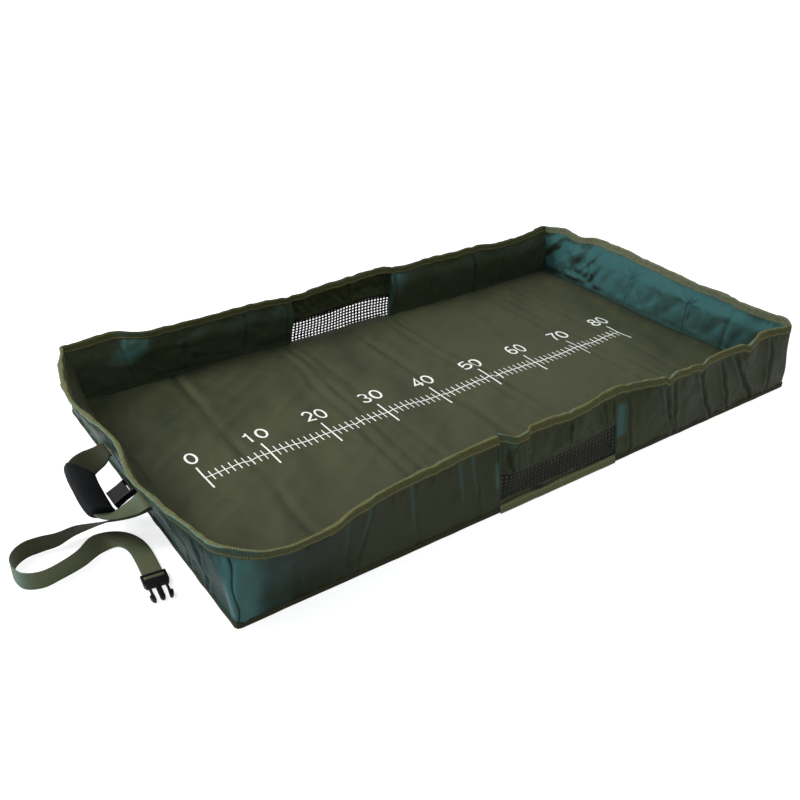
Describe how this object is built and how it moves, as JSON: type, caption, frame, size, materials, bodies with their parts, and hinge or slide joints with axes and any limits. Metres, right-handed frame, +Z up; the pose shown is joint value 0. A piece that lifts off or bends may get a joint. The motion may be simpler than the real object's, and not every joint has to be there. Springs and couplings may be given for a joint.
{
  "type": "unhooking mat",
  "caption": "Padded rectangular tray of coated fabric with raised foam walls and mesh drain windows, folding in three, with webbing handles and a side-release buckle strap.",
  "frame": {"origin": "middle of the mat's underside, on the ground", "axes": "+X along the length, from the end with the gripped handle and strap to the other end; +Y across the width, away from the wall nearest the camera in the picture; +Z up out of the tray"},
  "size_m": [1.2654, 0.6283, 0.116],
  "materials": {
    "floor_fabric": "matt coated nylon",
    "wall_fabric": "matt coated nylon with a teal sheen where it catches light",
    "base_fabric": "matt coated nylon",
    "binding_tape": "woven tape",
    "webbing": "woven webbing",
    "drain_mesh": "open net",
    "foam": "closed-cell foam",
    "grip_neoprene": "smooth neoprene",
    "buckle_plastic": "moulded, satin to glossy"
  },
  "bodies": {
    "mid_panel": {"mid_base_cover": "base_fabric", "mid_floor_foam": "foam", "mid_floor_cover": "floor_fabric", "front_gusset_strip": "wall_fabric", "back_gusset_strip": "wall_fabric", "front_mesh_window": "drain_mesh", "back_mesh_window": "drain_mesh", "front_mid_rim_tape": "binding_tape", "back_mid_rim_tape": "binding_tape", "front_mid_foot_tape": "binding_tape", "back_mid_foot_tape": "binding_tape"},
    "head_tray": {"head_base_cover": "base_fabric", "head_floor_foam": "foam", "head_floor_cover": "floor_fabric", "head_front_wall_outer": "wall_fabric", "head_front_wall_foam": "foam", "head_front_wall_lining": "wall_fabric", "head_end_wall_outer": "wall_fabric", "head_end_wall_foam": "foam", "head_end_wall_lining": "wall_fabric", "head_back_wall_outer": "wall_fabric", "head_back_wall_foam": "foam", "head_back_wall_lining": "wall_fabric", "head_rim_tape": "binding_tape", "head_foot_tape": "binding_tape", "carry_handle_back_patch": "webbing", "carry_handle_front_patch": "webbing", "socket_patch": "webbing", "closing_strap": "webbing", "buckle_plug": "buckle_plastic"},
    "tail_tray": {"tail_base_cover": "base_fabric", "tail_floor_foam": "foam", "tail_floor_cover": "floor_fabric", "tail_front_wall_outer": "wall_fabric", "tail_front_wall_foam": "foam", "tail_front_wall_lining": "wall_fabric", "tail_end_wall_outer": "wall_fabric", "tail_end_wall_foam": "foam", "tail_end_wall_lining": "wall_fabric", "tail_back_wall_outer": "wall_fabric", "tail_back_wall_foam": "foam", "tail_back_wall_lining": "wall_fabric", "tail_rim_tape": "binding_tape", "tail_foot_tape": "binding_tape", "far_handle_back_patch": "webbing", "far_handle_front_patch": "webbing"},
    "carry_handle": {"carry_handle_webbing": "webbing", "grip_sleeve": "grip_neoprene"},
    "far_handle": {"far_handle_webbing": "webbing"},
    "strap_socket": {"buckle_socket": "buckle_plastic", "socket_tab": "webbing"},
    "latch_arm_left": {"latch_arm_left": "buckle_plastic"},
    "latch_arm_right": {"latch_arm_right": "buckle_plastic"}
  },
  "joints": [
    {"name": "head_fold", "type": "hinge", "parent": "mid_panel", "child": "head_tray", "pos_m": [-0.117, 0, 0.0274], "axis": [0, 1, 0], "range_deg": [0, 90], "deforming": ["front_gusset_strip", "back_gusset_strip", "front_mesh_window", "back_mesh_window", "front_mid_rim_tape", "back_mid_rim_tape"]},
    {"name": "tail_fold", "type": "hinge", "parent": "mid_panel", "child": "tail_tray", "pos_m": [0.099, 0, 0.0274], "axis": [0, -1, 0], "range_deg": [0, 90], "deforming": ["front_gusset_strip", "back_gusset_strip", "front_mesh_window", "back_mesh_window", "front_mid_rim_tape", "back_mid_rim_tape"]},
    {"name": "carry_handle_swing", "type": "hinge", "parent": "head_tray", "child": "carry_handle", "pos_m": [-0.51511, -0.004, 0.056], "axis": [0, 1, 0], "range_deg": [0, 40]},
    {"name": "far_handle_swing", "type": "hinge", "parent": "tail_tray", "child": "far_handle", "pos_m": [0.50958, -0.018, 0.056], "axis": [0, -1, 0], "range_deg": [0, 40]},
    {"name": "socket_swing", "type": "hinge", "parent": "head_tray", "child": "strap_socket", "pos_m": [-0.51287, -0.03, 0.056], "axis": [0, 1, 0], "range_deg": [-10, 45]},
    {"name": "latch_arm_left_flex", "type": "hinge", "parent": "head_tray", "child": "latch_arm_left", "pos_m": [-0.53573, -0.17483, 0.0033], "axis": [0, 0, -1], "range_deg": [0, 8], "stiffness_Nm_per_rad": 0.6},
    {"name": "latch_arm_right_flex", "type": "hinge", "parent": "head_tray", "child": "latch_arm_right", "pos_m": [-0.55558, -0.17243, 0.0033], "axis": [0, 0, 1], "range_deg": [0, 8], "stiffness_Nm_per_rad": 0.6}
  ]
}
